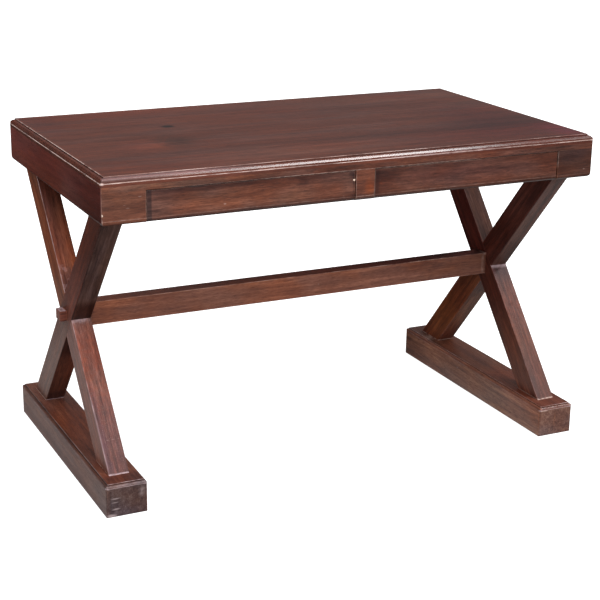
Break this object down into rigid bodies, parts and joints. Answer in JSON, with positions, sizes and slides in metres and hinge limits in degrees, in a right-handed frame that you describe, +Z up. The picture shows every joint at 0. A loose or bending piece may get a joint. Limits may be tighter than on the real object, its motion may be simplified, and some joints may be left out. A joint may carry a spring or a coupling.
{
  "type": "sawbuck table",
  "caption": "Wooden sawbuck writing table: moulded plank top on a frieze with flush drawers, crossed-beam trestles on sled feet, joined by a through-tenoned stretcher.",
  "frame": {"origin": "on the floor, under the middle of the table", "axes": "+X along the table's length, -Y towards the drawer side, +Z up"},
  "size_m": [1.2184, 0.702, 0.76],
  "materials": {
    "stained_wood": "dark red-brown stained hardwood, satin, worn on the arrises",
    "inner_wood": "plain unstained secondary wood, planed",
    "panel": "thin plain drawer bottom, unstained",
    "steel": "plain steel screws"
  },
  "bodies": {
    "frame": {"top_board_1": "stained_wood", "top_board_2": "stained_wood", "top_board_3": "stained_wood", "top_board_4": "stained_wood", "top_board_5": "stained_wood", "front_top_rail": "stained_wood", "front_block_left": "stained_wood", "front_block_right": "stained_wood", "front_centre_stile": "stained_wood", "side_apron_left": "stained_wood", "side_apron_right": "stained_wood", "back_apron": "stained_wood", "foot_left": "stained_wood", "foot_right": "stained_wood", "beam_left_outer": "stained_wood", "beam_left_inner": "stained_wood", "beam_right_outer": "stained_wood", "beam_right_inner": "stained_wood", "stretcher": "stained_wood", "bearer_left": "inner_wood", "bearer_right": "inner_wood", "runner_left": "inner_wood", "runner_right": "inner_wood", "runner_centre": "inner_wood", "kicker_left": "inner_wood", "kicker_right": "inner_wood", "kicker_centre": "inner_wood", "drawer_stops": "inner_wood", "long_screws": "steel", "short_screws": "steel"},
    "drawer_left": {"drawer_left_front": "stained_wood", "drawer_left_side_outer": "inner_wood", "drawer_left_side_inner": "inner_wood", "drawer_left_back": "inner_wood", "drawer_left_bottom": "panel", "drawer_left_screws": "steel"},
    "drawer_right": {"drawer_right_front": "stained_wood", "drawer_right_side_outer": "inner_wood", "drawer_right_side_inner": "inner_wood", "drawer_right_back": "inner_wood", "drawer_right_bottom": "panel", "drawer_right_screws": "steel"}
  },
  "joints": [
    {"name": "drawer_left_slide", "type": "slide", "parent": "frame", "child": "drawer_left", "axis": [0, -1, 0], "range_m": [0, 0.36]},
    {"name": "drawer_right_slide", "type": "slide", "parent": "frame", "child": "drawer_right", "axis": [0, -1, 0], "range_m": [0, 0.36]}
  ]
}
